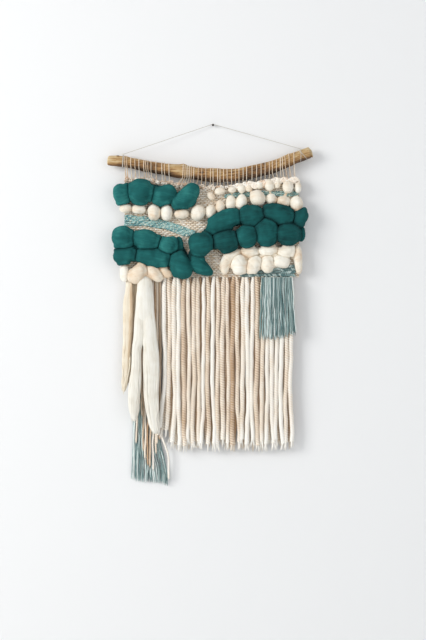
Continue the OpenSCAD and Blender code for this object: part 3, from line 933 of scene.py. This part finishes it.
def frayed_end(made, tip, angle, tone, flare, rng):
    """A ply that has come loose at the end of a strand, in three locks that curl outwards."""
    out = np.array([math.cos(angle), math.sin(angle), 0])
    t = np.linspace(0, 1, 9)
    for _ in range(3):
        long = rng.uniform(11, 18) * MM
        curl = rng.uniform(1.2, 4.0) * MM
        side = out + np.array([rng.uniform(-0.6, 0.6) - 1.2 * flare, rng.uniform(-0.4, 0.4), 0])
        tuft = tip + np.outer(0.9 * (1.6 * MM + curl * t ** 1.8), side) + points(0, 0, 2 * MM - long * t)
        made.add(tuft, 1.75 * MM * (1 - 0.8 * t ** 1.6), sides=7, tone=tone + 0.2 * t, lobes=2, turns=45,
                 groove=0.1)


def strand(made, x, y, low, knot_x, tone, front, rng):
    """One plied strand, from its knot under the weave to its frayed end."""
    thick = rng.uniform(4.1, 5.1) * MM
    top = PANEL_LOW + 1 * MM + rng.uniform(-1.5, 1) * MM
    tone = tone + rng.uniform(-0.15, 0.15) - (0.36 if front and rng.uniform() < 0.26 else 0)
    z = np.arange(top, low + 12 * MM, -0.9 * MM)
    fall = top - z
    gather = 1 - smoothstep(0, 22 * MM, fall)
    loose = smoothstep(0, 60 * MM, fall)
    drift = (wander(z, rng, 1.4 * MM, 0.4) + wander(z, rng, 0.25 * MM, 0.07)) * (1 + fall * 4)
    flare = smoothstep(0.2, 0.33, fall) * smoothstep(-76 * MM, -101 * MM, x)
    path = points(x + (knot_x - x) * 0.35 * gather + drift * loose - 7 * MM * flare,
                  y + wander(z, rng, 0.9 * MM, 0.17) * loose + (PANEL_Y - y) * 0.3 * gather, z)
    radius = thick * (1 + wander(z, rng, 0.05, 0.04)) * (1 - 0.3 * gather)
    phase = rng.uniform(0, 6.28)
    shade = tone + wander(z, rng, 0.1, 0.15) + 0.3 * smoothstep(40 * MM, 0, z - z[-1])
    made.add(path, radius, sides=12, tone=shade, lobes=2, turns=STRAND_TURNS, lobe_depth=0.3, phase=phase,
             groove=0.36)
    for ply in range(2):
        angle = phase + TAU * (STRAND_TURNS * (top - z[-1]) + ply / 2)
        frayed_end(made, path[-1], angle, shade[-1], flare[-1], rng)


def fringe(node, seed):
    """Plied strands in two rows, two and two from one knot."""
    made = Tubes()
    rng = np.random.default_rng(seed)
    strands = []
    for co, _ in part_list(node):
        middle = (co.min(0) + co.max(0)) / 2
        strands.append((middle[0], middle[1], co[:, 2].min()))
    middle_y = sum(s[1] for s in strands) / len(strands)
    for front in (True, False):
        line = sorted(s for s in strands if (s[1] < middle_y) == front)
        for k in range(0, len(line), 2):
            pair = line[k:k + 2]
            knot_x = sum(s[0] for s in pair) / len(pair)
            # The back row is painted darker than the front: painted shade behind the front strands.
            tone = rng.uniform(0.68, 1.05) if front else rng.uniform(0.15, 0.5)
            for x, y, low in pair:
                strand(made, x, y, low, knot_x, tone, front, rng)
    return made.build(node + "_yarn", FRINGE)


def spans_at(tree, z, xs):
    """The stretches of x that a node covers at height z, as seen from the front."""
    out, start = [], None
    for x in xs:
        inside = tree.ray_cast(Vector((x, -0.3, z)), Vector((0, 1, 0)))[0] is not None
        if inside and start is None:
            start = x
        if not inside and start is not None:
            out.append((start, x))
            start = None
    return out


def tail_rows(node, top, part):
    """Left edge, right edge and height of a tail every 5 mm down, and its depth.

    part is left, right, middle or all: a forked tail is two prongs and a middle over their tops."""
    tree, low, high = node_shape(node)
    xs = np.arange(low.x - 2 * MM, high.x + 2 * MM, 0.5 * MM)
    rows = []
    parted = False
    for z in np.arange(high.z - 6 * MM, low.z + 1 * MM, -5 * MM):
        spans = spans_at(tree, z, xs)
        if not spans:
            continue
        parted = parted or len(spans) > 1
        a, b = spans[0]
        wide = b - a
        if part == "middle":
            if parted:
                break
            rows.append((a + 0.04 * wide, b - 0.04 * wide, z))
        elif part == "all" or (part == "left" and len(spans) > 1):
            rows.append((a, b, z))
        elif not parted:
            rows.append((a, a + 0.5 * wide, z) if part == "left" else (b - 0.64 * wide, b, z))
        elif part == "right":
            rows.append((*spans[-1], z))
    rows = np.array(rows)
    first = rows[0, :2].mean() + (rows[2, :2] - rows[2, :2].mean()) * 0.85
    rows = np.concatenate([[[*first, top]], rows])
    for _ in range(5):
        rows[1:-1, :2] = (rows[:-2, :2] + rows[1:-1, :2] * 2 + rows[2:, :2]) / 4
    return rows, (low.y + high.y) / 2


def roving_bundle(made, rows, y, thick, tone, rng, wisps, forward=0.0, sinks=False):
    """One smooth flattened bundle of fibres, with locks that come loose towards its end.

    One that sinks goes back and thins out between its neighbours."""
    height = rows[0, 2] - rows[:, 2]
    run = np.arange(0, height[-1], 3 * MM)
    t = run / run[-1]
    left, right = np.interp(run, height, rows[:, 0]), np.interp(run, height, rows[:, 1])
    z = rows[0, 2] - run
    wide = np.maximum(right - left, 0.75 * (right - left).max() * smoothstep(0.3, 0.6, t))
    centre = (left + right) / 2 + wander(z, rng, 0.8 * MM, 0.2)
    tail = np.clip((1 - t) * run[-1] / (20 * MM), 0, 1) ** 0.45
    head = np.sqrt(np.clip(1 - (1 - run / (14 * MM)) ** 2 * (run < 14 * MM), 0.02, 1))
    size = np.maximum(wide / 2 * tail * head, 0.4 * MM)
    deep = thick / 2 * np.minimum(tail * 1.3, 1) * head * (1 - 0.9 * sinks * smoothstep(0.5, 1, t))
    deep = np.maximum(deep, 0.4 * MM)
    sides = 56
    angle = ring_angles(sides)
    ridge = np.zeros((len(run), sides))
    for _ in range(9):
        turns = rng.integers(5, 24)
        twist = wander(z, rng, 1.2, 0.5)[:, None]
        ridge += np.sin(turns * angle + twist * 2 + rng.uniform(0, 7)) / (1 + 0.08 * turns)
    slow = np.sin(2 * angle + wander(z, rng, 2.0, 0.3)[:, None])
    grow = (0.16 * ridge + 0.5 * slow) * MM * np.minimum(1, size / (4 * MM))[:, None]
    ahead = forward * smoothstep(0.02, 0.2, t) * (1 - sinks * smoothstep(0.5, 0.9, t))
    co = np.stack([centre[:, None] + (size[:, None] + grow) * np.cos(angle),
                   y - ahead[:, None] + (deep[:, None] + grow) * np.sin(angle),
                   np.repeat(z[:, None], sides, axis=1)], axis=-1).reshape(-1, 3)
    strip = np.array([[k, k + 1, sides - 2 - k, sides - 1 - k] for k in range(sides // 2 - 1)])
    faces = [ring_walls(len(run), sides)[:, [0, 3, 2, 1]], strip, strip[:, ::-1] + (len(run) - 1) * sides]
    around = np.tile(angle / TAU, len(run)) * wide.max() * 2 / 0.06
    fibre = points(np.repeat(run, sides), around, tone * 9)
    made.gather(co, np.concatenate(faces), np.full(len(co), tone), fibre)
    for _ in range(wisps):
        share = rng.uniform(-0.85, 0.85)
        start, stop = rng.uniform(0.35, 0.85) * run[-1], run[-1] + rng.uniform(-10, 9) * MM
        down = np.arange(start, stop, 3 * MM)
        u = np.linspace(0, 1, len(down))
        half = np.interp(down, run, wide / 2) * (1 - 0.35 * smoothstep(0.8, 1.0, down / run[-1]))
        path = points(np.interp(down, run, centre) + share * half,
                      y - forward - rng.uniform(-0.7, 0.95) * np.interp(down, run, deep), rows[0, 2] - down)
        path[:, 0] += wander(path[:, 2], rng, 1 * MM, 0.07) + rng.normal(0, 1.2) * MM * u ** 3
        path[:, 1] += wander(path[:, 2], rng, 0.6 * MM, 0.08)
        thin = np.clip((1 - u) * 2.6, 0.06, 1) * np.clip(u * 4 + 0.2, 0, 1)
        made.add(path, rng.uniform(0.6, 1.7) * MM * thin, tone=tone + rng.uniform(-0.15, 0.1), flat=0.6)


def front_tails():
    made = Tubes()
    rng = np.random.default_rng(53)
    prongs = (("left", -0.309, 0.5, 40, 0.0), ("right", -0.307, 0.5, 50, 0.5 * MM),
              ("middle", -0.304, 0.6, 0, 1.6 * MM))
    for part, top, tone, wisps, forward in prongs:
        rows, y = tail_rows("front_roving", top, part)
        roving_bundle(made, rows, y, 13 * MM, tone, rng, wisps, forward=forward, sinks=part == "middle")
    return made.build("front_tails", IVORY)


def side_tail():
    """The beige tail: one bundle, a darker one along its right side and a thin darker one behind, both painted
    shade.
    """
    made = Tubes()
    rng = np.random.default_rng(59)
    rows, y = tail_rows("side_roving", -0.304, "all")
    roving_bundle(made, rows, y, 9 * MM, 0.6, rng, 26)
    narrow = rows.copy()
    narrow[:, 0] += 0.58 * (rows[:, 1] - rows[:, 0])
    # Painted shade: the right side of the tail is a much darker bundle.
    roving_bundle(made, narrow[:-12], y, 8 * MM, 0.12, rng, 8, forward=1.5 * MM)
    behind = rows.copy()
    behind[:, :2] += np.array([9, 13]) * MM
    roving_bundle(made, behind[:-3], y + 5 * MM, 4 * MM, 0.3, rng, 6)
    return made.build("side_tail", BEIGE)


def tassel(node, name, seed, reach_up, fan, dark_from):
    """Three loose thin yarns round each CAD yarn, with their ends uneven.

    They start reach_up above it. Below z -0.62 those right of x -0.14 spread by fan. Half of them are darker
    right of dark_from."""
    made = Tubes()
    rng = np.random.default_rng(seed)
    for co, _ in part_list(node):
        high_end = co[co[:, 2] > co[:, 2].max() - 2 * MM].mean(0)
        low_end = co[co[:, 2] < co[:, 2].min() + 2 * MM].mean(0)
        for _ in range(3):
            off = rng.normal(0, 1.3, 2) * MM
            top = high_end + np.array([off[0] * 0.7, off[1] * 0.8, reach_up])
            low = low_end + np.array([off[0] * 1.6, off[1], rng.uniform(-2, 7) * MM])
            path = resample(np.array([top, low]), 5 * MM)
            t = np.linspace(0, 1, len(path))
            path[:, 0] += wander(path[:, 2], rng, 1.6 * MM, 0.13) * smoothstep(0, 0.35, t)
            path[:, 1] += wander(path[:, 2], rng, 0.8 * MM, 0.1) * smoothstep(0, 0.3, t)
            path[:, 0] += fan * smoothstep(-0.14, -0.107, path[:, 0]) * smoothstep(-0.62, -0.71, path[:, 2])
            size = 0.85 * MM * np.clip((1 - t) / 0.015 + 0.45, 0, 1)
            tone = np.clip(rng.normal(0.53, 0.32), 0, 1) + wander(path[:, 2], rng, 0.08, 0.06)
            dark = 0.25 * (rng.uniform() < 0.5)
            tone = tone - dark * smoothstep(dark_from, dark_from + 20 * MM, path[:, 0])
            made.add(path, size, sides=6, tone=tone)
    return made.build(name, BLUE)


# Thicker cream and brown yarns among the tassel behind: x at the top and at the end, depth, top and end z,
# radius, all in millimetres, and tone.
MIXED_YARNS = [
    (-116, -116, -13, -303, -560, 2.3, 0.2), (-111.5, -112, -14, -303, -640, 2.5, 0.65),
    (-107, -107, -12, -303, -632, 2.4, 0.3), (-124, -124, -12, -303, -575, 2.0, 0.3),
    (-133, -136, -12, -310, -672, 2.1, 0.75), (-130, -131, -13, -310, -684, 2.0, 0.2),
    (-124, -126, -14, -310, -688, 1.9, 0.4), (-120, -120, -12, -310, -694, 2.1, 0.9),
    (-138, -140, -11, -310, -655, 1.9, 0.4), (-115, -115, -13, -310, -660, 2.0, 0.6),
    (-142.5, -143, -12, -310, -585, 2.0, 0.5), (-147.5, -148, -12, -310, -560, 2.0, 0.6),
    (-146, -154, -11, -310, -640, 1.8, 0.65), (-104.5, -105, -13, -303, -606, 2.0, 0.5),
]


def mixed_yarns():
    made = Tubes()
    rng = np.random.default_rng(73)

    def thick_yarn(path, size, tone):
        made.add(path, size, sides=9, tone=tone, lobes=3, turns=120, lobe_depth=0.25)

    for top_x, low_x, y, top, low, radius, tone in MIXED_YARNS:
        z = np.arange(top, low, -1.3) * MM
        t = np.linspace(0, 1, len(z))
        x = (top_x + (low_x - top_x) * t) * MM + wander(z, rng, 0.9 * MM, 0.12) * smoothstep(0.1, 0.5, t)
        path = points(x, y * MM + wander(z, rng, 0.7 * MM, 0.15), z)
        thick_yarn(path, radius * MM * np.clip((1 - t) / 0.02 + 0.3, 0, 1), tone)
    # One longer white strand curves out under the fringe's short ones.
    z = np.arange(-600, -712, -1.3) * MM
    t = np.linspace(0, 1, len(z))
    fall = smoothstep(-0.606, -0.672, z)
    path = points((-106 + 17 * fall) * MM, (-12 - 1.5 * np.sin(fall * 3)) * MM, z)
    thick_yarn(path, 2.3 * MM * np.clip((1 - t) / 0.05 + 0.25, 0, 1), 0.9)
    return made.build("tassel_behind_mixed", FRINGE)


# ---------------------------------------------------------------- assembling

def place(obj, body, slot, *nodes):
    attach(obj, body)
    if nodes:
        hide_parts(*nodes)
    return obj


def bend(obj, bodies, from_z, to_z, slot, *nodes):
    if nodes:
        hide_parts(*nodes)
    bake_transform(obj)


cord = place(hanging_cord(), "hanger", "cord_cotton", "hanging_cord")
knot_left, tie_right = cord_knots()
place(knot_left, "hanger", "cord_cotton", "cord_knot_left")
place(tie_right, "hanger", "cord_cotton", "cord_tie_right")

place(nail(), "nail", "nail_steel", "wall_nail")
place(branch(), "hanger", "driftwood", "branch")
bend(warp_loops(), ("hanger", "weaving"), -0.112, -0.122, "warp_cotton", "warp_loops")

shadow_sheet, weft, warp_inside = woven_ground()
place(shadow_sheet, "weaving", "ground_weave", "woven_ground")
place(weft, "weaving", "ground_weave")
place(warp_inside, "weaving", "warp_cotton")
place(top_curls(), "weaving", "cream_yarn", "top_knots")
place(band_rows("weft_band_left", "tweed_band", 5, 2.6 * MM, 31), "weaving", "tweed_yarn", "weft_band_left")
place(band_rows("weft_band_right", "upper_tweed_band", 3, 1.9 * MM, 37), "weaving", "tweed_yarn",
      "weft_band_right")
place(soumak(), "weaving", "blue_yarn", "soumak_band")

TEAL_NODES = sorted(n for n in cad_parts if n.startswith("teal_roving"))
CREAM_NODES = sorted(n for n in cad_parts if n.startswith(("cream_", "roving_")))
SMALL_NODES = {"cream_roving_top_right", "cream_roving_middle_left", "cream_roving_middle_right"}
bubbles, between = roving_objects(TEAL_NODES + CREAM_NODES, SMALL_NODES)
for n, made in bubbles.items():
    place(made, "weaving", "teal_wool" if n in TEAL_NODES else "cream_wool", n)
for made in between:
    place(made, "weaving", "teal_wool" if made.name.startswith("teal") else "cream_wool")

for n, seed in (("fringe_left", 41), ("fringe_middle", 43), ("fringe_right", 47)):
    bend(fringe(n, seed), ("weaving", "fringe"), -0.304, -0.326, "fringe_yarn", n)

bend(front_tails(), ("tassel_behind", "tails_front"), -0.318, -0.335, "ivory_wool", "front_roving")
bend(side_tail(), ("weaving", "tail_side"), -0.306, -0.33, "beige_wool", "side_roving")
bend(tassel("left_tassel", "tassel_behind_yarn", 61, 16 * MM, 16 * MM, -0.12), ("weaving", "tassel_behind"),
     -0.306, -0.33, "blue_yarn", "left_tassel")
bend(mixed_yarns(), ("weaving", "tassel_behind"), -0.306, -0.33, "fringe_yarn")
bend(tassel("right_tassel", "tassel_front_yarn", 67, 16 * MM, 0.0, 0.14), ("fringe", "tassel_front"),
     -0.306, -0.328, "blue_yarn", "right_tassel")


# ---------------------------------------------------------------- stage and light

WALL_Y = 0.0
FLOOR_Z = -1.5
HALF_WIDE = 4
ROOM_TOP = 3


def stage_plane(name, corners, material):
    mesh = bpy.data.meshes.new(name)
    mesh.from_pydata(corners, [], [(0, 1, 2, 3)])
    mesh.materials.append(material)
    return link_object(name, mesh)


def plain_paint(name, colour, see_through_back):
    m = Nodes(name)
    material = m.shader({"Base Color": (*colour, 1), "Roughness": 0.95})
    if see_through_back:
        behind = m.add("NewGeometry", {}).outputs["Backfacing"]
        paint = m.tree.nodes["Principled BSDF"].outputs[0]
        mix = m.add("MixShader", {0: behind, 1: paint, 2: m.add("BsdfTransparent", {}).outputs[0]})
        m.plug(mix.outputs[0], m.tree.nodes["Material Output"].inputs["Surface"])
    return material


def area_light(name, place_at, aim_at, size, power, colour):
    light = bpy.data.lights.new(name, "AREA")
    light.shape = "RECTANGLE"
    light.size, light.size_y = size
    light.energy = power
    light.color = colour
    made = link_object(name, light)
    made.location = place_at
    made.rotation_euler = (Vector(aim_at) - Vector(place_at)).to_track_quat("-Z", "Y").to_euler()


wall = stage_plane("wall", [(-HALF_WIDE, WALL_Y, FLOOR_Z), (HALF_WIDE, WALL_Y, FLOOR_Z),
                            (HALF_WIDE, WALL_Y, ROOM_TOP), (-HALF_WIDE, WALL_Y, ROOM_TOP)],
                   plain_paint("wall_paint", (0.86, 0.865, 0.87), True))
floor = stage_plane("floor", [(-HALF_WIDE, -6, FLOOR_Z), (HALF_WIDE, -6, FLOOR_Z),
                              (HALF_WIDE, 4, FLOOR_Z), (-HALF_WIDE, 4, FLOOR_Z)],
                    plain_paint("floor_paint", (0.8, 0.8, 0.79), False))

area_light("window", (-2.7, -2.2, 0.6), (0, 0, -0.4), (1.6, 1.6), 80, (1.0, 0.99, 0.97))
area_light("fill", (1.8, -2.6, 0.0), (0, 0, -0.4), (2.0, 2.0), 15, (1.0, 0.98, 0.95))

world = bpy.data.worlds.new("world")
world.use_nodes = True
background = world.node_tree.nodes["Background"]
background.inputs["Color"].default_value = (0.93, 0.96, 1.0, 1)
background.inputs["Strength"].default_value = 0.52
bpy.context.scene.world = world
bpy.context.scene.view_settings.view_transform = "Standard"
